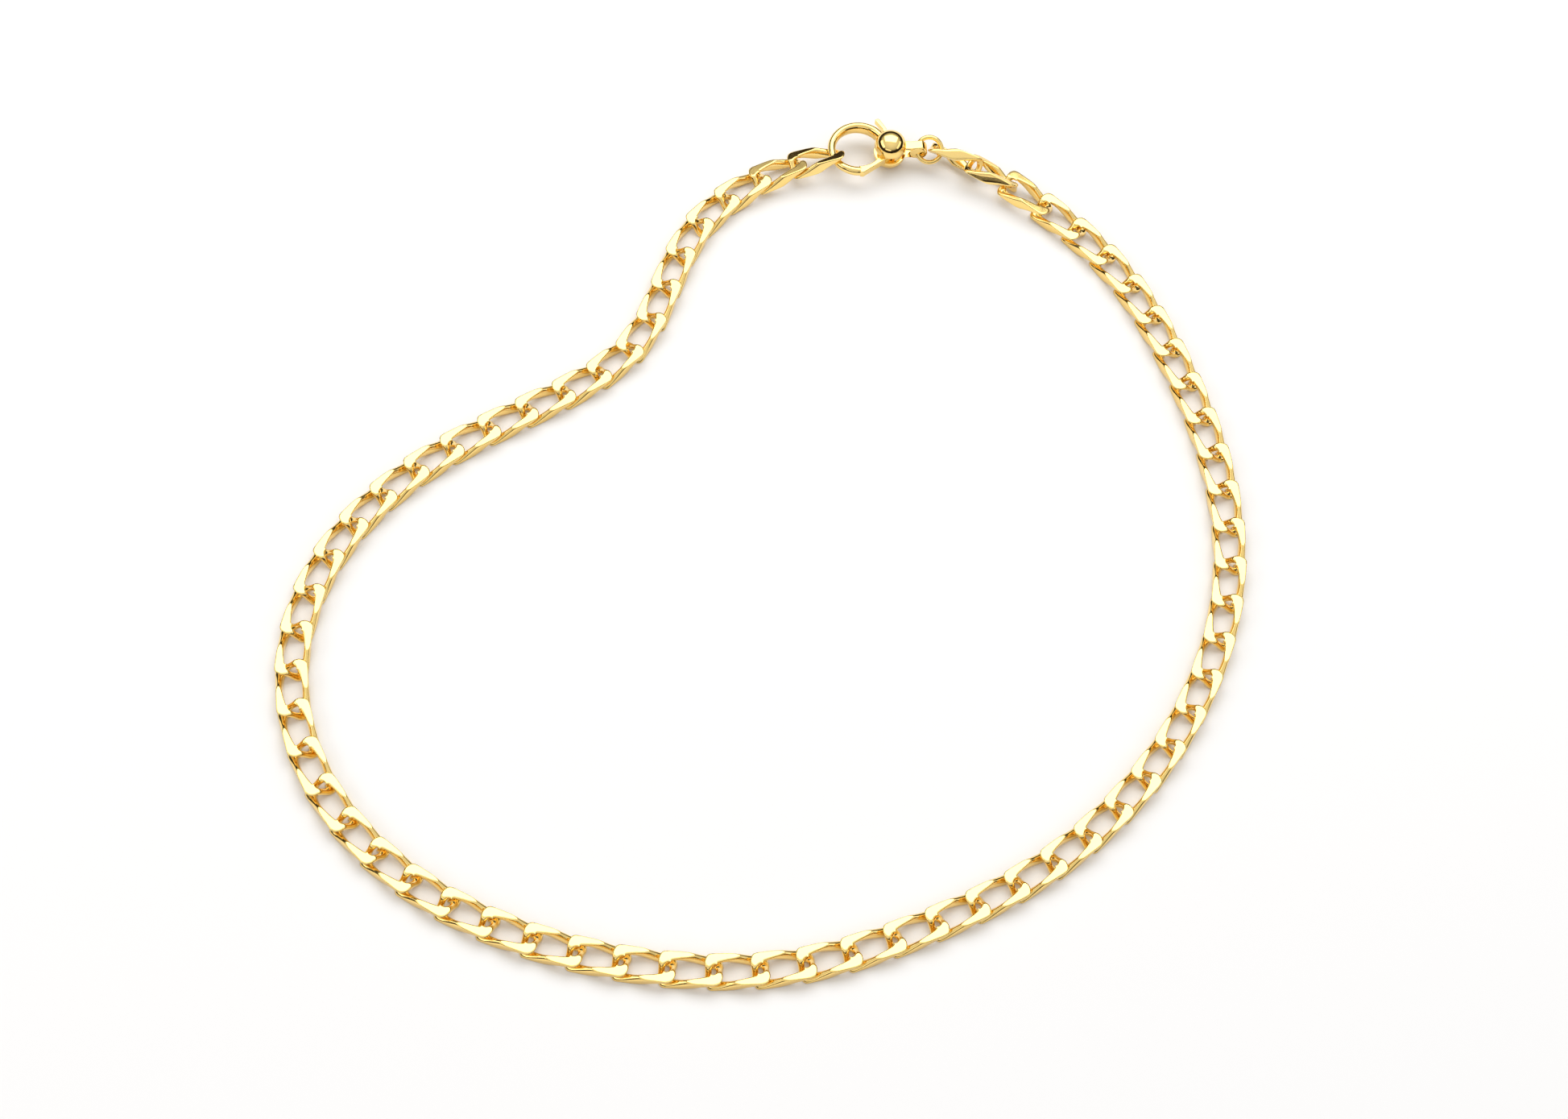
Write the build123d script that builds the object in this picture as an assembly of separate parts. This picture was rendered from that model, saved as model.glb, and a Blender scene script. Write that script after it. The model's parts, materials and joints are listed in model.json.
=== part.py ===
"""Chain necklace: 64 open curb links, a ball-headed trigger clasp and one jump ring, lying flat as a closed loop."""
from build123d import *
from math import cos, pi, radians, sin, sqrt
import os

# ---- driving dimensions, millimetres and degrees ----
LINKS = 64
LINK_HALF_LENGTH = 4.1      # link centre to the wire's centre at either end
LINK_HALF_WIDTH = 2.0       # link centre to the wire's centre at either side
LINK_CORNER = 1.4           # plan radius of the wire's centre line at the corners
# The wire's section at the middle of an end, at a corner and at the middle of a side.
END_WIDTH, END_HEIGHT = 0.95, 1.2
CORNER_WIDTH, CORNER_HEIGHT = 2.1, 1.3
SIDE_WIDTH, SIDE_HEIGHT = 1.15, 2.3
CORNER_LIFT = 1.05          # the twist holds two corners this much above the link's middle and two below it
CORNER_INSET = 0.25         # a corner's section is centred this much inside the wire's line
SIDE_STATION = 1.35         # the side's section is also set this far each way from its middle
CHAIN_WIDTH = 4.9           # ground flat on both edges
CHAIN_THICKNESS = 2.1       # ground flat above and below

DOME_HEIGHT = 1.8
DOME_RADIUS = 2.5
DRUM_RADIUS = 2.4
DRUM_HALF_HEIGHT = 1.5
SLOT_HALF_HEIGHT = 0.66     # room for the lever between the drum's two cheeks
SLOT_RADIUS = 2.7           # past the drum's rim
GATE_SLOT = (164, 286)      # angles about the pivot that the gate needs
TAB_SLOT = (54, 120)        # and that the thumb tab needs
DRUM_EDGE = 0.2
HUB_RADIUS = 1.25
HUB_CLEARANCE = 0.2
LEVER_HALF_HEIGHT = 0.6
GATE_INNER = 0.6            # the gate's inner face follows the hook's, this far inside the centre line
GATE_OUTER = 0.5
GATE_TIP_ANGLE = 270.5      # about the hook's centre
GATE_ROOT_ANGLE = 322
GATE_ROOT = [(-0.75, -0.6, 0), (0.9, -0.7, 0), (-0.75, -2.45, 0)]
TAB_OUTLINE = [(-0.35, 0.6), (0.45, 0.8), (-0.55, 3.9), (-1.7, 5.75), (-2.35, 5.45), (-1.15, 3.75)]
TAB_HALF_HEIGHT = 0.5
POCKET_WALL = 0.1
POCKET_DEPTH = 0.45
SPRING_RADIUS = 0.8
SPRING_WIRE = 0.28
SPRING_TURN = 300
SPRING_LEG = 0.25
SPRING_HEIGHT = -0.42
PIN_RADIUS = 0.45
PIN_HALF_LENGTH = 2.3
RUNNING_FIT = 0.03          # radial play of the lever on its pin
PRESS_GAP = 0.01            # radial play drawn at the pin's fixed ends

HOOK_CENTRE = (-5.2, -0.2)  # from the pivot, tail along +X
HOOK_RADIUS = 4.35          # centre line
HOOK_WIRE = 1.25
HOOK_TIP_WIRE = 1.05
HOOK_START = 28.0           # angles about the hook's centre
HOOK_STOP = 281.0
HOOK_STEPS = 12
HOOK_CONTACT = 199.0        # where the first link hangs in the hook
IN_HOOK = 0.55              # the loop's first junction is this far inside the hook's centre line
GATE_REACH = 6.75           # pivot to the gate's end
GATE_GAP = 0.12

TAIL_HALF_WIDTH = 0.75
EYE_X = 4.5
EYE_RADIUS = 1.1
TAIL_RADIUS = 1.6
RING_RADIUS = 2.0           # centre line
RING_WIRE = 0.6
RING_X = 6.45
IN_RING = 0.6               # the loop's last junction is this far inside the ring's centre line
RING_LEAN = 36.0            # far side of the ring stands this much above level

CLASP_HEIGHT = DRUM_HALF_HEIGHT + DOME_HEIGHT   # the clasp's middle plane, with its lower dome on the table
CLASP_PIVOT = (10.3, 74.1)
CLASP_YAW = 6.0

# The loop's centre line from the hook, round the wearer's left side and the front, back to the ring.
ROUTE = [
    (-9.5, 67.0), (-18.5, 58.0), (-23.0, 45.0), (-27.0, 32.5), (-38.0, 21.5), (-56.0, 7.5),
    (-67.5, -8.5), (-71.0, -27.5), (-65.0, -46.0), (-51.0, -60.0), (-32.5, -68.0), (-12.5, -70.7),
    (7.0, -68.5), (25.5, -60.5), (42.0, -49.5), (55.5, -34.5), (64.5, -16.5), (68.0, 3.5),
    (65.0, 23.5), (57.5, 42.0), (46.5, 58.5), (29.5, 70.5),
]
FLAT_HEIGHT = CHAIN_THICKNESS / 2
# The chain climbs to the clasp: junction heights and link rolls that differ from the flat run.
RAISED_JUNCTIONS = {
    0: CLASP_HEIGHT, 1: 2.24, 2: 1.6, 3: 1.065,
    59: 1.068, 60: 1.125, 61: 1.5, 62: 2.4, 63: 3.05, 64: CLASP_HEIGHT,
}
LINK_ROLLS = {1: 19.0, 2: 13.0, 3: 5.7, 62: 10.0, 63: 36.0, 64: 66.0}

LINK_NODES_SINGLE = 21      # rows whose two links are separate nodes; the rest share one node a row


# ---- one link ----
def side_station(x):
    """A point of the straight side: position, outward direction."""
    return (x, LINK_HALF_WIDTH), 90.0


def corner_station(end, angle):
    """A point of the rounded corner at the left (-1) or right (1) end; the angle is up from the end."""
    centre_x = LINK_HALF_LENGTH - LINK_CORNER
    centre_y = LINK_HALF_WIDTH - LINK_CORNER
    x = end * (centre_x + LINK_CORNER * cos(radians(angle)))
    y = centre_y + LINK_CORNER * sin(radians(angle))
    outward = angle if end > 0 else 180.0 - angle
    return (x, y), outward


def link_section(station):
    """The wire's section at a station: lifted or sunk by the twist, and broadest and flattest at the corners."""
    (x, y), outward = station
    corner_x = LINK_HALF_LENGTH - LINK_CORNER * (1 - cos(radians(45)))
    corner_y = LINK_HALF_WIDTH - LINK_CORNER * (1 - sin(radians(45)))
    if y > corner_y:
        toward_corner = min(abs(x) / corner_x, 1.0)
        width, height = SIDE_WIDTH, SIDE_HEIGHT
    else:
        toward_corner = min(abs(y) / corner_y, 1.0)
        width, height = END_WIDTH, END_HEIGHT
    share = toward_corner**2
    width += (CORNER_WIDTH - width) * share
    height += (CORNER_HEIGHT - height) * share
    lift = CORNER_LIFT * sin(toward_corner * pi / 2) * (1 if x < 0 else -1)
    out = Vector(cos(radians(outward)), sin(radians(outward)), 0)
    ahead = Vector(out.Y, -out.X, 0)
    seat = Vector(x, y, lift) - out * CORNER_INSET * share
    return Plane(origin=seat, x_dir=out, z_dir=ahead) * Ellipse(width / 2, height / 2)


def make_link():
    """One side is lofted, its skin is sewn to the same skin turned half round, and the ring is ground flat on four sides."""
    end_angles = [0, 45, 90]
    stations = [((-LINK_HALF_LENGTH, 0), 180.0)]
    stations += [corner_station(-1, angle) for angle in end_angles]
    stations += [side_station(x) for x in (-SIDE_STATION, 0, SIDE_STATION)]
    stations += [corner_station(1, angle) for angle in reversed(end_angles)]
    stations += [((LINK_HALF_LENGTH, 0), 0.0)]
    half = loft([link_section(station) for station in stations])
    skin = [face for face in half.faces() if face.geom_type != GeomType.PLANE]
    ring = Solid(Shell(skin + [face.rotate(Axis.Z, 180) for face in skin]))
    return ring & Box(3 * LINK_HALF_LENGTH, CHAIN_WIDTH, CHAIN_THICKNESS)


# ---- where the links lie ----
def clasp_place():
    return Location((CLASP_PIVOT[0], CLASP_PIVOT[1], CLASP_HEIGHT), (0, 0, CLASP_YAW))


def hook_point(angle, radius=HOOK_RADIUS):
    return Vector(
        HOOK_CENTRE[0] + radius * cos(radians(angle)),
        HOOK_CENTRE[1] + radius * sin(radians(angle)),
        0,
    )


def chain_ends():
    """The loop's two end junctions: just inside the hook's arm and just inside the jump ring."""
    in_hook = hook_point(HOOK_CONTACT, HOOK_RADIUS - IN_HOOK)
    in_ring = Vector(RING_X + RING_RADIUS - IN_RING, 0, 0)
    return [(clasp_place() * Location(point)).position for point in (in_hook, in_ring)]


def junction_height(index):
    return RAISED_JUNCTIONS.get(index, FLAT_HEIGHT)


def walk(route, pitch):
    """Junctions one pitch apart along the route, and how far the last one stops short of its end."""
    at = 0.0
    points = [route.position_at(0)]
    for index in range(1, LINKS + 1):
        rise = junction_height(index) - junction_height(index - 1)
        chord = sqrt(pitch**2 - rise**2)
        low, high = at, min(at + 3 * pitch / route.length, 1.2)
        for _ in range(30):
            middle = (low + high) / 2
            if (route.position_at(middle) - points[-1]).length < chord:
                low = middle
            else:
                high = middle
        at = (low + high) / 2
        points.append(route.position_at(at))
    return points, 1.0 - at


def lay_chain():
    """The 65 junctions. The pitch is the one that makes 64 links reach from the hook to the ring."""
    start, end = chain_ends()
    points = [(start.X, start.Y), *ROUTE, (end.X, end.Y)]
    route = Spline(*points)
    low, high = 6.3, 7.1
    for _ in range(24):
        pitch = (low + high) / 2
        placed, short = walk(route, pitch)
        if short > 0:
            low = pitch
        else:
            high = pitch
    joints = [Vector(p.X, p.Y, junction_height(n)) for n, p in enumerate(placed)]
    return joints, pitch


def link_place(joints, number):
    """Location of a link between its two junctions, level unless it is rolled."""
    start, end = joints[number - 1], joints[number]
    ahead = (end - start).normalized()
    left = Vector(0, 0, 1).cross(ahead).normalized()
    up = ahead.cross(left)
    roll = radians(LINK_ROLLS.get(number, 0.0))
    return Plane(origin=(start + end) / 2, x_dir=ahead, z_dir=up * cos(roll) - left * sin(roll)).location


# ---- the clasp, about its pivot with the tail along +X ----
def sector(start, stop, radius, half_height):
    """A wedge about the pivot between two angles."""
    angles = (start, (start + stop) / 2, stop)
    rim = [Vector(radius * cos(radians(a)), radius * sin(radians(a)), 0) for a in angles]
    outline = Line((0, 0, 0), rim[0]) + ThreePointArc(*rim) + Line(rim[2], (0, 0, 0))
    return extrude(make_face(outline), half_height, both=True)


def make_hook():
    """Round wire that thins to its tip."""
    sections = []
    for step in range(HOOK_STEPS + 1):
        share = step / HOOK_STEPS
        angle = HOOK_START + (HOOK_STOP - HOOK_START) * share
        size = HOOK_WIRE + (HOOK_TIP_WIRE - HOOK_WIRE) * share
        ahead = Vector(-sin(radians(angle)), cos(radians(angle)), 0)
        sections.append(Plane(origin=hook_point(angle), x_dir=(0, 0, 1), z_dir=ahead) * Circle(size / 2))
    return loft(sections)


def make_clasp_body():
    """Hook, slotted drum and tail with its cross eye, one casting."""
    hook = make_hook() - Cylinder(GATE_REACH + GATE_GAP, 4) + (make_hook() & hook_root_zone())
    drum = fillet(Cylinder(DRUM_RADIUS, 2 * DRUM_HALF_HEIGHT).edges().filter_by(GeomType.CIRCLE), DRUM_EDGE)
    neck = Pos(EYE_X / 2 + 0.5, 0, 0) * Box(EYE_X - 1, 2 * TAIL_HALF_WIDTH, 2 * DRUM_HALF_HEIGHT - 0.2)
    knuckle = Pos(EYE_X, 0, 0) * Rot(90, 0, 0) * Cylinder(TAIL_RADIUS, 2 * TAIL_HALF_WIDTH)
    body = drum + neck + knuckle + hook
    body -= Pos(EYE_X, 0, 0) * Rot(90, 0, 0) * Cylinder(EYE_RADIUS, 6)
    body -= Cylinder(HUB_RADIUS + HUB_CLEARANCE, 2 * SLOT_HALF_HEIGHT)
    body -= sector(*GATE_SLOT, SLOT_RADIUS, SLOT_HALF_HEIGHT)
    body -= sector(*TAB_SLOT, SLOT_RADIUS, SLOT_HALF_HEIGHT)
    body -= Cylinder(PIN_RADIUS + PRESS_GAP, 4 * DRUM_HALF_HEIGHT)
    return body


def hook_root_zone():
    """The part of the hook that the gate never sweeps: its far half."""
    return Pos(HOOK_CENTRE[0], HOOK_CENTRE[1] + 5, 0) * Box(20, 10, 4)


def make_lever():
    """Gate, hub and thumb tab in one piece."""
    inner = HOOK_RADIUS - GATE_INNER
    tip_in = hook_point(GATE_TIP_ANGLE, inner)
    tip_out = hook_point(GATE_TIP_ANGLE + 1.5, HOOK_RADIUS + GATE_OUTER)
    root_in = hook_point(GATE_ROOT_ANGLE, inner)
    outline = ThreePointArc(tip_in, hook_point((GATE_TIP_ANGLE + GATE_ROOT_ANGLE) / 2, inner), root_in)
    corners = [root_in, *GATE_ROOT, tip_out, tip_in]
    for start, end in zip(corners, corners[1:]):
        outline += Line(start, end)
    gate = extrude(make_face(outline), LEVER_HALF_HEIGHT, both=True) & Cylinder(GATE_REACH, 2 * LEVER_HALF_HEIGHT)
    hub = Cylinder(HUB_RADIUS, 2 * LEVER_HALF_HEIGHT)
    tab = extrude(make_face(Polyline(*TAB_OUTLINE, close=True)), TAB_HALF_HEIGHT, both=True)
    spring_pocket = Pos(0, 0, -LEVER_HALF_HEIGHT) * Cylinder(HUB_RADIUS - POCKET_WALL, POCKET_DEPTH * 2)
    return gate + hub + tab - spring_pocket - Cylinder(PIN_RADIUS + RUNNING_FIT, 4 * LEVER_HALF_HEIGHT)


def make_lever_spring():
    """An open coil round the pin, sunk in the underside of the hub, with a short straight leg."""
    coil = revolve(Plane.XZ * Pos(SPRING_RADIUS, 0) * Circle(SPRING_WIRE / 2), Axis.Z, SPRING_TURN)
    leg = extrude(Pos(SPRING_RADIUS, 0, 0) * Plane.YZ * Circle(SPRING_WIRE / 2), SPRING_LEG)
    return Pos(0, 0, SPRING_HEIGHT) * (coil + leg)


def make_dome(side):
    """A cap over one end of the pin; side is 1 above and -1 below."""
    ball_radius = (DOME_RADIUS**2 + DOME_HEIGHT**2) / (2 * DOME_HEIGHT)
    ball = Pos(0, 0, DRUM_HALF_HEIGHT + DOME_HEIGHT - ball_radius) * Sphere(ball_radius)
    cap = ball & Pos(0, 0, DRUM_HALF_HEIGHT + 5) * Box(20, 20, 10)
    socket = Cylinder(PIN_RADIUS + PRESS_GAP, 2 * (PIN_HALF_LENGTH + 0.05))
    return (cap - socket).rotate(Axis.X, 0 if side > 0 else 180)


def make_jump_ring():
    return Pos(RING_X, 0, 0) * Rot(RING_LEAN, 0, 0) * Torus(RING_RADIUS, RING_WIRE / 2)


# ---- assembly ----
def link_node(number):
    """The node that a link belongs to. Rows past the separate ones hold a left and a right link each."""
    row = min(number, LINKS + 1 - number)
    if row <= LINK_NODES_SINGLE:
        return f"link_{number:02d}"
    return f"links_{row:02d}_and_{LINKS + 1 - row:02d}"


def assemble():
    """Every node's solids in the loop's own frame, and the junctions."""
    at_clasp = clasp_place()
    nodes = {
        "clasp_body": [at_clasp * make_clasp_body()],
        "lever": [at_clasp * make_lever()],
        "lever_spring": [at_clasp * make_lever_spring()],
        "pivot_pin": [at_clasp * Cylinder(PIN_RADIUS, 2 * PIN_HALF_LENGTH)],
        "upper_dome": [at_clasp * make_dome(1)],
        "lower_dome": [at_clasp * make_dome(-1)],
        "jump_ring": [at_clasp * make_jump_ring()],
    }
    joints, pitch = lay_chain()
    link = make_link()
    for number in range(1, LINKS + 1):
        placed = link_place(joints, number) * link
        nodes.setdefault(link_node(number), []).append(placed)
    return nodes, joints, pitch


nodes, joints, pitch = assemble()
every_solid = [solid for parts in nodes.values() for part in parts for solid in part.solids()]
bounds = Compound(children=every_solid).bounding_box()
to_origin = Vector(-(bounds.min.X + bounds.max.X) / 2, -(bounds.min.Y + bounds.max.Y) / 2, -bounds.min.Z)
frame = Location(to_origin)
nodes = {name: [frame * part for part in parts] for name, parts in nodes.items()}
print(f"pitch {pitch:.3f}, bounds {bounds.size}, shift {to_origin}")

os.makedirs("parts", exist_ok=True)
for name, parts in nodes.items():
    solids = [solid for part in parts for solid in part.solids()]
    export_step(solids[0] if len(solids) == 1 else Compound(children=solids), f"parts/{name}.step")
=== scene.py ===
"""A yellow gold curb chain necklace with a ball-headed clasp, laid out closed on a white table."""
import json
from math import cos, pi, radians, sin, sqrt

import bmesh
import bpy
import numpy as np
from mathutils import Matrix, Vector


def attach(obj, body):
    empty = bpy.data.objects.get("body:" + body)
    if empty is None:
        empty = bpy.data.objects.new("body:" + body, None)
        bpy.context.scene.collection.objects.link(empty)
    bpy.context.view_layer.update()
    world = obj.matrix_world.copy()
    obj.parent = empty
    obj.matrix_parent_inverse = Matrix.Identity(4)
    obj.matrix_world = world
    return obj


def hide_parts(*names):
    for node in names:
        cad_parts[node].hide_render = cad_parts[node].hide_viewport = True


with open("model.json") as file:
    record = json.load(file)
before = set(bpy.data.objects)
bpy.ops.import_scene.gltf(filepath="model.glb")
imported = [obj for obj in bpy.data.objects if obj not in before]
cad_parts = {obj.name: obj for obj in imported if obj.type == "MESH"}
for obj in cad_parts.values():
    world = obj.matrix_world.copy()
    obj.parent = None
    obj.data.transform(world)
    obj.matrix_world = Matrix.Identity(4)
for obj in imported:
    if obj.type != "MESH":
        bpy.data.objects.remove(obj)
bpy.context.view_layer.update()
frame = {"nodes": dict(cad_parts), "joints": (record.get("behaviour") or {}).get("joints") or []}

# ---- The camera ----
# A product camera on a stand in front of the table, looking down steeply, a little off level.
CAMERA_PLACE = (0.00152, -0.23325, 0.41265)
CAMERA_TILT = radians(90 - 61.11)   # from looking straight down
CAMERA_ROLL = radians(5.917)

lens = bpy.data.cameras.new("camera")
lens.sensor_width = 36
lens.lens = 70.97
lens.clip_start = 0.01
camera = bpy.data.objects.new("camera", lens)
camera_aim = Matrix.Rotation(CAMERA_TILT, 4, "X") @ Matrix.Rotation(CAMERA_ROLL, 4, "Z")
camera.matrix_world = Matrix.Translation(CAMERA_PLACE) @ camera_aim
bpy.context.scene.collection.objects.link(camera)
bpy.context.scene.camera = camera


# ---- The table and the studio light ----
# A sheet of matt white card under the chain, one large softbox high behind it, a long one at each
# side and a low one in front. The room round them is dim, which is what draws the dark lines in the gold.
class Value:
    """A number that varies over a surface: one socket of a node tree. Arithmetic on it adds Math nodes."""

    def __init__(self, tree, socket):
        self.tree = tree
        self.socket = socket

    @classmethod
    def node(cls, tree, kind, settings, inputs, output=0):
        """Any other node: its type, its settings, then the values or links of its sockets."""
        made = tree.nodes.new(kind)
        for name, value in settings.items():
            if name == "stops":
                cls.set_stops(made.color_ramp.elements, value)
            else:
                setattr(made, name, value)
        for name, value in inputs.items():
            if isinstance(value, Value):
                tree.links.new(value.socket, made.inputs[name])
            else:
                made.inputs[name].default_value = value
        return cls(tree, made.outputs[output]) if made.outputs else None

    @staticmethod
    def set_stops(elements, stops):
        """The places and colours of a ramp's stops."""
        while len(elements) < len(stops):
            elements.new(0.5)
        for element, (place, colour) in zip(elements, stops):
            element.position = place
            element.color = (*colour, 1)

    def math(self, operation, first, second):
        return self.node(self.tree, "ShaderNodeMath", {"operation": operation}, {0: first, 1: second})

    def __add__(self, other):
        return self.math("ADD", self, other)

    __radd__ = __add__

    def __sub__(self, other):
        return self.math("SUBTRACT", self, other)

    def __rsub__(self, other):
        return self.math("SUBTRACT", other, self)

    def __mul__(self, other):
        return self.math("MULTIPLY", self, other)

    __rmul__ = __mul__


def empty_tree(owner):
    """The node tree of a material or world, cleared."""
    owner.use_nodes = True
    owner.node_tree.nodes.clear()
    return owner.node_tree


def put(piece_name, mesh):
    """A new object of a mesh, in the scene."""
    piece = bpy.data.objects.new(piece_name, mesh)
    bpy.context.scene.collection.objects.link(piece)
    return piece


def softbox(name, place, size, radiance, warmth=1.0):
    """A rectangular area light aimed at the middle of the chain."""
    lamp = bpy.data.lights.new(name, "AREA")
    lamp.shape = "RECTANGLE"
    lamp.size, lamp.size_y = size
    lamp.energy = radiance * size[0] * size[1] * pi
    lamp.color = (1, warmth, warmth * warmth)
    box = bpy.data.objects.new(name, lamp)
    box.location = place
    box.rotation_mode = "QUATERNION"
    box.rotation_quaternion = (-Vector(place)).to_track_quat("-Z", "Y")
    bpy.context.scene.collection.objects.link(box)


def make_card():
    """Matt white card."""
    material = bpy.data.materials.new("white card")
    tree = empty_tree(material)
    shader = Value.node(tree, "ShaderNodeBsdfPrincipled", {}, {
        "Base Color": (0.93, 0.925, 0.92, 1), "Roughness": 0.75,
    })
    Value.node(tree, "ShaderNodeOutputMaterial", {}, {"Surface": shader})
    return material


def make_floor(half):
    """The sheet of card, a square reaching this far from the middle."""
    mesh = bpy.data.meshes.new("floor")
    corners = [(-half, -half, 0), (half, -half, 0), (half, half, 0), (-half, half, 0)]
    mesh.from_pydata(corners, [], [(0, 1, 2, 3)])
    mesh.materials.append(make_card())
    put("floor", mesh)


def light_the_room():
    """Dim all round, darkest at the height of the table's far edge, and softly lit overhead."""
    world = bpy.data.worlds.new("room")
    tree = empty_tree(world)
    direction = Value.node(tree, "ShaderNodeTexCoord", {}, {})
    height = Value.node(tree, "ShaderNodeSeparateXYZ", {}, {0: direction}, 2)
    stops = [
        (0.0, (0.02, 0.02, 0.02)), (0.34, (0.03, 0.022, 0.015)),
        (0.56, (0.6, 0.6, 0.6)), (1.0, (0.95, 0.95, 0.95)),
    ]
    ceiling = Value.node(tree, "ShaderNodeValToRGB", {"stops": stops}, {0: height})
    sky = Value.node(tree, "ShaderNodeBackground", {}, {"Color": ceiling, "Strength": 1.0})
    Value.node(tree, "ShaderNodeOutputWorld", {}, {"Surface": sky})
    bpy.context.scene.world = world


make_floor(0.7)
light_the_room()
softbox("back_softbox", (0, 0.42, 0.72), (1.0, 0.62), 2.0)
softbox("left_softbox", (-0.75, -0.1, 0.5), (0.9, 0.3), 1.4, 0.98)
softbox("right_softbox", (0.8, 0.0, 0.45), (0.9, 0.25), 0.9, 0.98)
softbox("front_softbox", (-0.2, -0.8, 0.42), (0.7, 0.2), 0.9, 0.97)
bpy.context.scene.view_settings.view_transform = "Standard"


# ---- The chain ----
# Sixty-four curb links of solid gold wire. Each is a rounded oblong ring twisted about its length, and
# the finished chain is ground flat on all four sides and polished, which leaves the bright teardrop facets.
MM = 0.001
LINK_HALF_LENGTH = 4.1
LINK_HALF_WIDTH = 2.0
LINK_CORNER = 1.4
END_SECTION = (0.95, 1.2)           # the wire's width and height at the middle of an end,
CORNER_SECTION = (2.1, 1.3)         # at a corner,
SIDE_SECTION = (1.15, 2.3)          # and at the middle of a side
CORNER_LIFT = 1.05                  # the twist holds two corners this far up and the other two this far down
CORNER_INSET = 0.25
GROUND_HALF_WIDTH = 2.45
GROUND_HALF_THICKNESS = 1.05
FACET_EDGE = 0.1                    # the rounding that polishing leaves along a facet's edge
ROUND_THE_RING = 120
ROUND_THE_WIRE = 44
FACET_MIDDLE = 2.4                  # each facet is faintly crowned about this distance from the link's middle
FACET_CROWN = 0.011
RAY_CLEARANCE = 0.4                 # a ray's start is this share of the half height inside the facet
SHALLOWEST_SLOPE = 0.3              # the rounding grows no wider where a ray runs along the facet
LINKS = 64
SINGLE_ROWS = 21
GOLD = (1.0, 0.76, 0.30)
DEEP_GOLD = (0.99, 0.68, 0.21)


def gold_finish(name, roughness, scratches):
    """Polished yellow gold: slow drift in colour and gloss, and hair scratches from wear."""
    material = bpy.data.materials.new(name)
    tree = empty_tree(material)
    place = Value.node(tree, "ShaderNodeTexCoord", {}, {}, 3)
    drift = Value.node(tree, "ShaderNodeTexNoise", {}, {
        "Vector": place, "Scale": 160.0, "Detail": 3.0, "Roughness": 0.55,
    })
    cloud = Value.node(tree, "ShaderNodeTexNoise", {}, {
        "Vector": place, "Scale": 900.0, "Detail": 4.0, "Roughness": 0.6,
    })
    along = Value.node(tree, "ShaderNodeMapping", {}, {
        "Vector": place, "Scale": (3000.0, 22000.0, 9000.0), "Rotation": (0.3, 0.5, 0.7),
    })
    hair = Value.node(tree, "ShaderNodeTexNoise", {}, {
        "Vector": along, "Scale": 1.0, "Detail": 2.0, "Roughness": 0.5,
    })
    tint = Value.node(tree, "ShaderNodeMix", {"data_type": "RGBA"}, {
        0: drift, 6: (*GOLD, 1), 7: (*DEEP_GOLD, 1),
    }, 2)
    gloss = roughness + (cloud - 0.5) * 0.08 + (hair - 0.5) * 0.05
    relief = Value.node(tree, "ShaderNodeBump", {}, {
        "Height": hair, "Strength": scratches, "Distance": 0.00002,
    })
    shader = Value.node(tree, "ShaderNodeBsdfPrincipled", {}, {
        "Base Color": tint, "Metallic": 1.0, "Roughness": gloss, "Normal": relief,
    })
    Value.node(tree, "ShaderNodeOutputMaterial", {}, {"Surface": shader})
    return material


link_gold = gold_finish("polished link gold", 0.13, 0.12)


def ring_stations():
    """Points along the wire's centre line round one link, each with the direction that faces outward."""
    straight = 2 * (LINK_HALF_LENGTH - LINK_CORNER)
    end = 2 * (LINK_HALF_WIDTH - LINK_CORNER)
    arc = LINK_CORNER * pi / 2
    runs = [straight, arc, end, arc, straight, arc, end, arc]
    total = sum(runs)
    stations = []
    for step in range(ROUND_THE_RING):
        gone = total * (step + 0.5) / ROUND_THE_RING
        run = 0
        while gone > runs[run]:
            gone -= runs[run]
            run += 1
        quarter = run // 2
        facing = (90.0, 0.0, -90.0, 180.0)[quarter]
        if run % 2:
            turned = radians(facing - 90 * gone / arc)
            corner = [(1, 1), (1, -1), (-1, -1), (-1, 1)][quarter]
            centre = (corner[0] * straight / 2, corner[1] * end / 2)
            out = (cos(turned), sin(turned))
            at = (centre[0] + LINK_CORNER * out[0], centre[1] + LINK_CORNER * out[1])
        else:
            turned = radians(facing)
            out = (cos(turned), sin(turned))
            ahead = (out[1], -out[0])
            reach = LINK_HALF_WIDTH if quarter % 2 == 0 else LINK_HALF_LENGTH
            slide = gone - runs[run] / 2
            at = (reach * out[0] + slide * ahead[0], reach * out[1] + slide * ahead[1])
        stations.append((at, out))
    return stations


def softly_least(first, second, blend):
    """The smaller of two arrays, rounded where they cross."""
    near = np.maximum(blend - np.abs(first - second), 0) / blend
    return np.minimum(first, second) - near * near * blend / 4


def wire_section(x, y):
    """The wire's half width, half height, height of its middle and inset at a point of its centre line."""
    corner_x = LINK_HALF_LENGTH - LINK_CORNER * (1 - sqrt(0.5))
    corner_y = LINK_HALF_WIDTH - LINK_CORNER * (1 - sqrt(0.5))
    if abs(y) > corner_y:
        toward_corner = min(abs(x) / corner_x, 1.0)
        start = SIDE_SECTION
    else:
        toward_corner = min(abs(y) / corner_y, 1.0)
        start = END_SECTION
    share = toward_corner ** 2
    half_width, half_height = (
        (first + (last - first) * share) / 2 for first, last in zip(start, CORNER_SECTION)
    )
    lift = CORNER_LIFT * sin(toward_corner * pi / 2) * (1 if x * y < 0 else -1)
    return half_width, half_height, lift, CORNER_INSET * share


def bands(rings, around):
    """The four-cornered faces between each of so many rings of points and the next, and round to the first."""
    return [
        (ring * around + spoke, ring * around + beside, after * around + beside, after * around + spoke)
        for ring, after in zip(range(rings), [*range(1, rings), 0])
        for spoke, beside in zip(range(around), [*range(1, around), 0])
    ]


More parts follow.
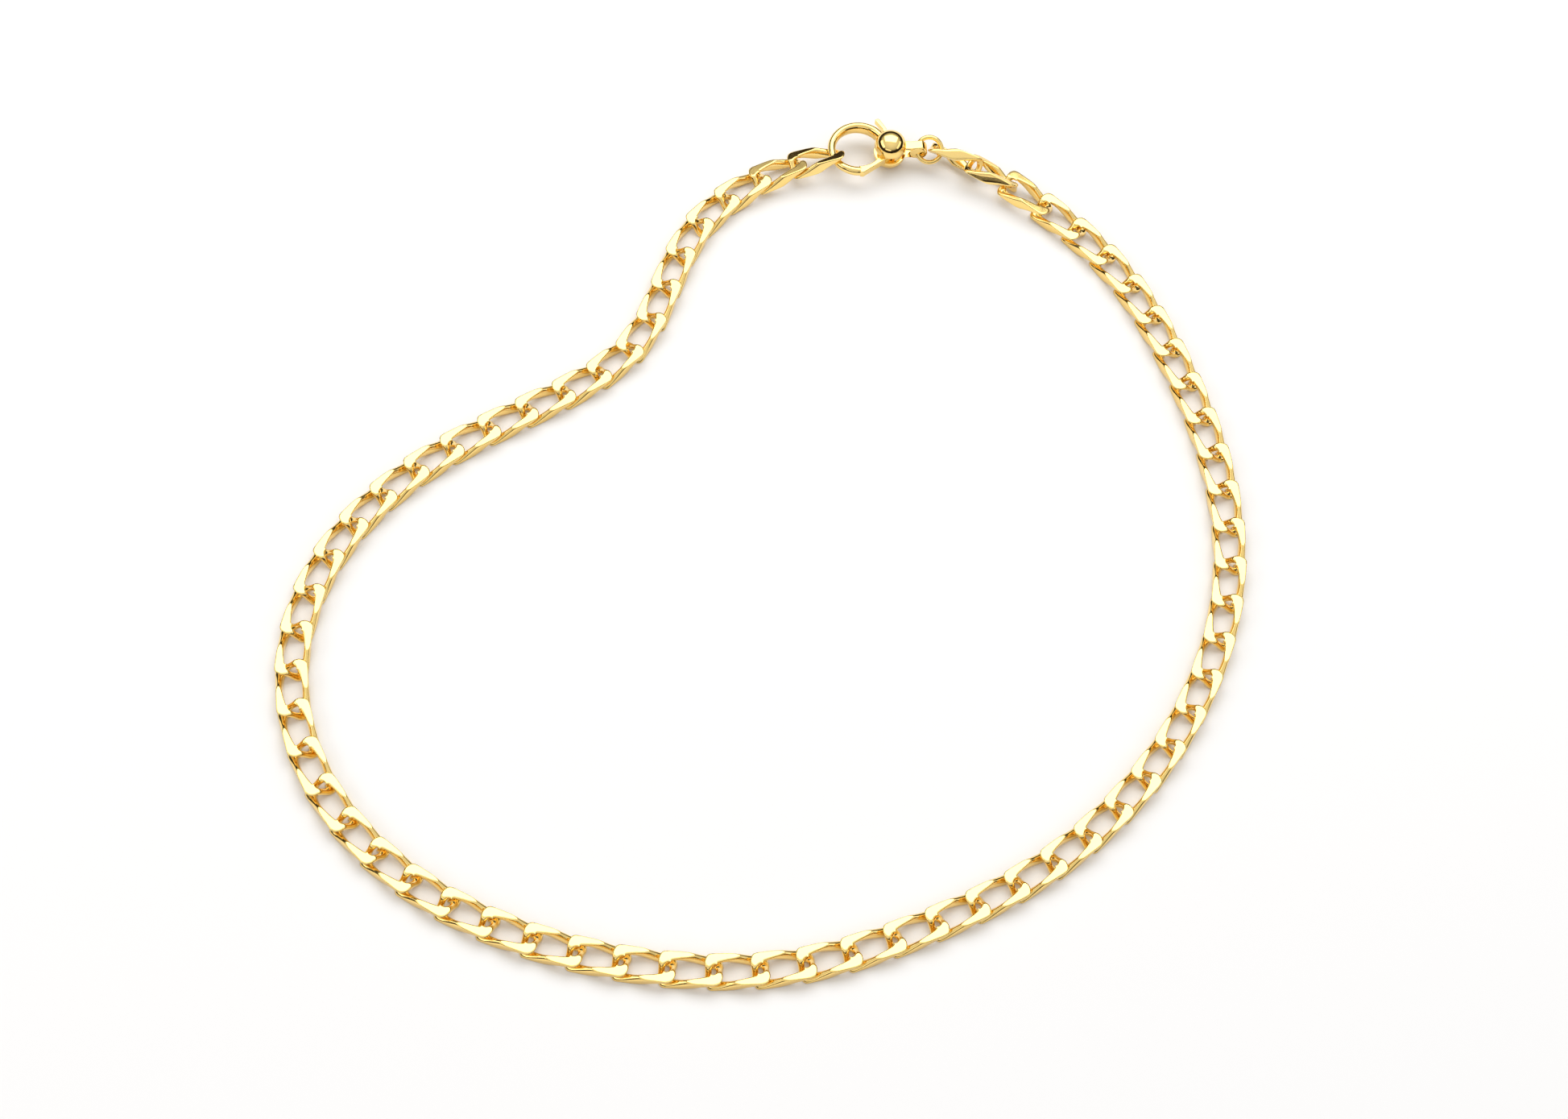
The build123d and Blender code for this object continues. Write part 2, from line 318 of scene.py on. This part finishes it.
def link_mesh():
    """One link about its own middle: length along X, width along Y, facets up and down."""
    points = []
    angles = np.arange(ROUND_THE_WIRE) * 2 * pi / ROUND_THE_WIRE
    for (x, y), out in ring_stations():
        half_width, half_height, lift, inset = wire_section(x, y)
        outward = np.array([out[0], out[1], 0])
        upward = np.array([0, 0, 1])
        seat = np.array([x, y, lift]) - inset * outward
        # The rays start from a point that is well inside the ground section.
        inside = np.zeros(2)
        above = abs(seat[2]) - (GROUND_HALF_THICKNESS - RAY_CLEARANCE * half_height)
        if above > 0:
            inside[1] = -above * np.sign(seat[2])
        seat = seat + inside[1] * upward
        ray = np.stack([half_width * np.cos(angles), half_height * np.sin(angles)])
        ray /= np.linalg.norm(ray, axis=0)
        scale = np.array([[1 / half_width], [1 / half_height]])
        a = ((ray * scale) ** 2).sum(0)
        b = (ray * scale * (inside[:, None] * scale)).sum(0)
        c = ((inside[:, None] * scale) ** 2).sum() - 1
        reach = (-b + np.sqrt(b * b - a * c)) / a
        heading = outward[:, None] * ray[0] + upward[:, None] * ray[1]
        crown = FACET_CROWN * (abs(x) - FACET_MIDDLE) ** 2
        for axis, limit in ((2, GROUND_HALF_THICKNESS - crown), (1, GROUND_HALF_WIDTH)):
            slope = np.where(np.abs(heading[axis]) < 1e-4, 1e-4, heading[axis])
            reach_plane = (np.sign(slope) * limit - seat[axis]) / slope
            edge = FACET_EDGE / np.maximum(np.abs(slope), SHALLOWEST_SLOPE)
            reach = softly_least(reach, reach_plane, edge)
        points.append((seat[:, None] + heading * reach).T)
    around = np.array(points).reshape(-1, 3) * MM
    faces = bands(ROUND_THE_RING, ROUND_THE_WIRE)
    mesh = bpy.data.meshes.new("curb link")
    mesh.from_pydata(around.tolist(), [], faces)
    mesh.polygons.foreach_set("use_smooth", [True] * len(faces))
    shape = bmesh.new()
    shape.from_mesh(mesh)
    bmesh.ops.recalc_face_normals(shape, faces=shape.faces)
    shape.to_mesh(mesh)
    shape.free()
    mesh.materials.append(link_gold)
    return mesh


def solids_of(node_name):
    """Each separate solid of a frame node, as the triangles' corners."""
    shape = bmesh.new()
    shape.from_mesh(frame["nodes"][node_name].data)
    bmesh.ops.remove_doubles(shape, verts=shape.verts, dist=1e-7)
    bmesh.ops.triangulate(shape, faces=shape.faces)
    unseen = set(shape.faces)
    solids = []
    while unseen:
        front = [unseen.pop()]
        solid = []
        while front:
            face = front.pop()
            solid.append([corner.co[:] for corner in face.verts])
            for edge in face.edges:
                for beside in edge.link_faces:
                    if beside in unseen:
                        unseen.discard(beside)
                        front.append(beside)
        solids.append(np.array(solid))
    shape.free()
    return solids


def link_lie(solid):
    """Where a link lies: its middle, and its long, wide and thin directions.

    A half turn about any of the three changes nothing, so their signs are free."""
    edge_one = solid[:, 1] - solid[:, 0]
    edge_two = solid[:, 2] - solid[:, 0]
    area = np.linalg.norm(np.cross(edge_one, edge_two), axis=1) / 2
    middle = (solid.mean(1) * area[:, None]).sum(0) / area.sum()
    local = solid - middle
    # A triangle's spread is that of its three corners and nine times that of its middle.
    centre = local.mean(1)
    spread = np.einsum("t,tvi,tvj->ij", area, local, local)
    spread += 9 * np.einsum("t,ti,tj->ij", area, centre, centre)
    _, axes = np.linalg.eigh(spread)
    long, wide = axes[:, 2], axes[:, 1]
    thin = np.cross(long, wide)
    lie = Matrix.Identity(4)
    for row in range(3):
        for column, axis in enumerate((long, wide, thin)):
            lie[row][column] = axis[row]
        lie[row][3] = middle[row]
    return lie


one_link = link_mesh()
for row in range(1, LINKS // 2 + 1):
    left, right = row, LINKS + 1 - row
    if row <= SINGLE_ROWS:
        homes = [(left, f"link_{left:02d}", 0), (right, f"link_{right:02d}", 0)]
    else:
        pair = f"links_{left:02d}_and_{right:02d}"
        homes = [(left, pair, 0), (right, pair, 1)]
    for number, home, which in homes:
        solids = sorted(solids_of(home), key=lambda solid: solid[:, :, 0].mean())
        curb = put(f"curb_link_{number:02d}", one_link)
        curb.matrix_world = link_lie(solids[which])
        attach(curb, f"row_{row:02d}")
        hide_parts(home)


# ---- The clasp's hook ----
# The round arm of a trigger clasp, cast in gold with the drum and the tail. It is an oval bar, tallest
# where it springs from the drum, slimmest where the chain hangs, and thick again at the tip.
clasp_gold = gold_finish("polished clasp gold", 0.07, 0.05)
CLASP_YAW = radians(6)
HOOK_CENTRE = (-5.2, -0.2)
HOOK_RADIUS = 4.35
HOOK_ENDS = (18, 279)               # degrees about the hook's middle, from the drum to the tip
HOOK_STATIONS = 72
ROUND_THE_HOOK = 28
TIP_SHARE = 0.86                    # the last station's size, which rounds the tip
HOOK_SIZES = [                      # degrees, half width, half height
    (18, 0.85, 1.3), (60, 0.78, 1.2), (110, 0.74, 1.05), (160, 0.68, 0.82),
    (195, 0.64, 0.66), (230, 0.66, 0.7), (262, 0.72, 0.78), (279, 0.7, 0.75),
]
pivot = next(joint for joint in frame["joints"] if joint["name"] == "lever_pivot")["pos_m"]
clasp_place = Matrix.Translation(pivot) @ Matrix.Rotation(CLASP_YAW, 4, "Z")


def skin(name, rings, closed, place, material):
    """A smooth mesh over rings of points; it closes on itself, or has a flat end at each end."""
    count, around = len(rings), len(rings[0])
    faces = bands(count, around)
    if not closed:
        del faces[-around:]
        faces.append(tuple(reversed(range(around))))
        faces.append(tuple(range((count - 1) * around, count * around)))
    mesh = bpy.data.meshes.new(name)
    mesh.from_pydata([[part * MM for part in point] for ring in rings for point in ring], [], faces)
    shape = bmesh.new()
    shape.from_mesh(mesh)
    bmesh.ops.remove_doubles(shape, verts=shape.verts, dist=1e-8)
    bmesh.ops.recalc_face_normals(shape, faces=shape.faces)
    shape.to_mesh(mesh)
    shape.free()
    mesh.polygons.foreach_set("use_smooth", [True] * len(mesh.polygons))
    mesh.set_sharp_from_angle(angle=radians(50))
    mesh.materials.append(material)
    piece = put(name, mesh)
    piece.matrix_world = place
    return piece


def settle(piece, body, *homes):
    """Sets a piece on its body in place of the frame's own shapes."""
    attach(piece, body)
    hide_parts(*homes)


hook_rings = []
for step in range(HOOK_STATIONS + 1):
    angle = HOOK_ENDS[0] + (HOOK_ENDS[1] - HOOK_ENDS[0]) * step / HOOK_STATIONS
    stops, half_widths, half_heights = zip(*HOOK_SIZES)
    half_width = np.interp(angle, stops, half_widths)
    half_height = np.interp(angle, stops, half_heights)
    last = (HOOK_STATIONS - step) / 2
    shrink = 1.0 if last >= 1 else TIP_SHARE + (1 - TIP_SHARE) * last
    ring = []
    for spoke in range(ROUND_THE_HOOK):
        turn = 2 * pi * spoke / ROUND_THE_HOOK
        reach = HOOK_RADIUS + half_width * shrink * cos(turn)
        ring.append((
            HOOK_CENTRE[0] + reach * cos(radians(angle)),
            HOOK_CENTRE[1] + reach * sin(radians(angle)),
            half_height * shrink * sin(turn),
        ))
    hook_rings.append(ring)
settle(skin("clasp_hook", hook_rings, False, clasp_place, clasp_gold), "clasp", "clasp_body")


# ---- The clasp's drum and its two domes ----
# The drum holds the pivot between two cheeks. A polished dome is pressed over each cheek, so that the
# clasp's head looks like a ball split by the slot that the lever moves in.
BALL_RADIUS = 2.62
BALL_HEIGHT = 3.3
CHEEK = 0.7                         # half the height of the slot between the domes
RIM_INSET = 0.12                    # the dome's rim is broken by a chamfer of this width,
RIM_STEP = 0.03                     # this far short of the ball's width
RIM_CHAMFER = 0.05                  # and this high at its outer end
DRUM_RADIUS = 2.3
DRUM_BORE = 1.5
DRUM_WALLS = ((122, 162), (288, 412))   # degrees about the pivot where the drum closes the slot
DOME_STEPS = 24
DRUM_STEPS = 20
SPOKES = 64


for home, side in (("upper_dome", 1), ("lower_dome", -1)):
    profile = [
        (0.02, CHEEK),
        (BALL_RADIUS - RIM_INSET, CHEEK),
        (BALL_RADIUS - RIM_STEP, CHEEK + RIM_CHAMFER),
    ]
    crown = BALL_HEIGHT - CHEEK - RIM_INSET
    for step in range(DOME_STEPS + 1):
        turn = radians(2 + 87.4 * step / DOME_STEPS)
        profile.append((BALL_RADIUS * cos(turn) ** 0.9, CHEEK + RIM_INSET + crown * sin(turn) ** 0.95))
    turns = [2 * pi * n / SPOKES for n in range(SPOKES)]
    rings = [[(radius * cos(a), radius * sin(a), height * side) for a in turns] for radius, height in profile]
    settle(skin(f"polished_{home}", rings, False, clasp_place, clasp_gold), "clasp", home)

for number, (start, stop) in enumerate(DRUM_WALLS, 1):
    turns = [radians(start + (stop - start) * n / DRUM_STEPS) for n in range(DRUM_STEPS + 1)]
    wall = []
    for height in (-CHEEK, CHEEK):
        outer = [(DRUM_RADIUS * cos(a), DRUM_RADIUS * sin(a), height) for a in turns]
        inner = [(DRUM_BORE * cos(a), DRUM_BORE * sin(a), height) for a in reversed(turns)]
        wall.append(outer + inner)
    settle(skin(f"drum_wall_{number}", wall, False, clasp_place, clasp_gold), "clasp", "clasp_body")


# ---- The clasp's tail ----
# A flat cheek of the casting behind the drum, with a cross eye that the jump ring passes through.
def plate(name, outlines, half_height, edge, place, material):
    """A flat plate with rounded edges from closed outlines; any outline after the first is a hole."""
    outline = bpy.data.curves.new(name, "CURVE")
    outline.dimensions = "2D"
    outline.fill_mode = "BOTH"
    outline.extrude = (half_height - edge) * MM
    outline.bevel_depth = edge * MM
    outline.bevel_resolution = 3
    outline.offset = -edge * MM
    for points in outlines:
        spline = outline.splines.new("POLY")
        spline.points.add(len(points) - 1)
        for point, (x, y) in zip(spline.points, points):
            point.co = (x * MM, y * MM, 0, 1)
        spline.use_cyclic_u = True
    drawn = bpy.data.objects.new(name, outline)
    bpy.context.scene.collection.objects.link(drawn)
    bpy.context.view_layer.update()
    mesh = bpy.data.meshes.new_from_object(drawn.evaluated_get(bpy.context.evaluated_depsgraph_get()))
    bpy.data.objects.remove(drawn)
    mesh.name = name
    shape = bmesh.new()
    shape.from_mesh(mesh)
    bmesh.ops.remove_doubles(shape, verts=shape.verts, dist=1e-7)
    bmesh.ops.recalc_face_normals(shape, faces=shape.faces)
    shape.to_mesh(mesh)
    shape.free()
    mesh.polygons.foreach_set("use_smooth", [True] * len(mesh.polygons))
    mesh.set_sharp_from_angle(angle=radians(40))
    mesh.materials.clear()
    mesh.materials.append(material)
    piece = put(name, mesh)
    piece.matrix_world = place
    weigh = piece.modifiers.new("even facets", "WEIGHTED_NORMAL")
    weigh.keep_sharp = True
    return piece


def arc(centre, radius, start, stop, steps=24):
    """Points of an arc, in degrees."""
    turns = [radians(start + (stop - start) * n / steps) for n in range(steps + 1)]
    return [(centre[0] + radius * cos(turn), centre[1] + radius * sin(turn)) for turn in turns]


EYE = (4.5, 0.0)
EYE_RADIUS = 1.1
TAIL_END_RADIUS = 1.6
TAIL_HALF_WIDTH = 0.78
on_edge = clasp_place @ Matrix.Rotation(pi / 2, 4, "X")
side_outline = [(1.9, 1.25), (3.4, 1.2)] + arc(EYE, TAIL_END_RADIUS, 68, -68) + [(3.4, -1.2), (1.9, -1.25)]
eye_hole = arc(EYE, EYE_RADIUS, 0, 345, 23)
tail = plate("clasp_tail", [side_outline, eye_hole], TAIL_HALF_WIDTH, 0.14, on_edge, clasp_gold)
settle(tail, "clasp", "clasp_body")


# ---- The lever ----
# The gate that closes the hook, its hub on the pivot pin and the thumb tab, one casting that swings
# between the drum's cheeks. The gate's face follows the inside of the hook.
GATE_HALF_HEIGHT = 0.68
TAB_HALF_HEIGHT = 0.52
HUB_HALF_HEIGHT = 0.6
GATE_FACE_RADIUS = 3.72             # about the hook's middle
HUB_RADIUS = 1.25
PIN_HOLE_RADIUS = 0.48


def on_hook(angle, radius):
    """A point at an angle about the hook's middle."""
    return (HOOK_CENTRE[0] + radius * cos(radians(angle)), HOOK_CENTRE[1] + radius * sin(radians(angle)))


gate_face = arc(HOOK_CENTRE, GATE_FACE_RADIUS, 271, 322, 12)
gate_heel = [(-0.75, -0.6), (0.9, -0.7), (-0.75, -2.45)]
gate_outline = gate_face + gate_heel + [on_hook(278, 5.1), on_hook(272.5, 5.0)]
gate = plate("lever_gate", [gate_outline], GATE_HALF_HEIGHT, 0.16, clasp_place, clasp_gold)
settle(gate, "lever", "lever")

tab_outline = [
    (-0.35, 0.6), (0.45, 0.8), (-0.55, 3.9), (-1.55, 5.6),
    (-1.85, 5.75), (-2.3, 5.55), (-2.3, 5.3), (-1.15, 3.75),
]
tab = plate("lever_thumb_tab", [tab_outline], TAB_HALF_HEIGHT, 0.12, clasp_place, clasp_gold)
settle(tab, "lever", "lever")

hub_outline = arc((0, 0), HUB_RADIUS, 0, 350, 35)
pin_hole = arc((0, 0), PIN_HOLE_RADIUS, 0, 345, 23)
hub = plate("lever_hub", [hub_outline, pin_hole], HUB_HALF_HEIGHT, 0.1, clasp_place, clasp_gold)
settle(hub, "lever", "lever")


# ---- The pivot pin and the lever's spring ----
# A plain drawn pin through the drum and a coil of fine sprung wire round it, both hidden by the domes.
pin_metal = gold_finish("drawn pin gold", 0.22, 0.25)
for home in ("lever_spring", "pivot_pin"):
    frame["nodes"][home].data.materials.clear()
    frame["nodes"][home].data.materials.append(pin_metal)


# ---- The jump ring ----
# A ring of round gold wire, closed and soldered, through the tail's eye and the last link.
RING_X = 6.45
RING_RADIUS = 2.03
RING_WIRE_RADIUS = 0.38
RING_LEAN = radians(36)
RING_STATIONS = 64
ROUND_THE_RING_WIRE = 20
lean = Matrix.Rotation(RING_LEAN, 4, "X")
ring_place = clasp_place @ Matrix.Translation((RING_X * MM, 0, 0)) @ lean
ring_rings = []
for step in range(RING_STATIONS):
    angle = 2 * pi * step / RING_STATIONS
    ring = []
    for spoke in range(ROUND_THE_RING_WIRE):
        turn = 2 * pi * spoke / ROUND_THE_RING_WIRE
        reach = RING_RADIUS + RING_WIRE_RADIUS * cos(turn)
        ring.append((reach * cos(angle), reach * sin(angle), RING_WIRE_RADIUS * sin(turn)))
    ring_rings.append(ring)
settle(skin("soldered_jump_ring", ring_rings, True, ring_place, clasp_gold), "jump_ring", "jump_ring")
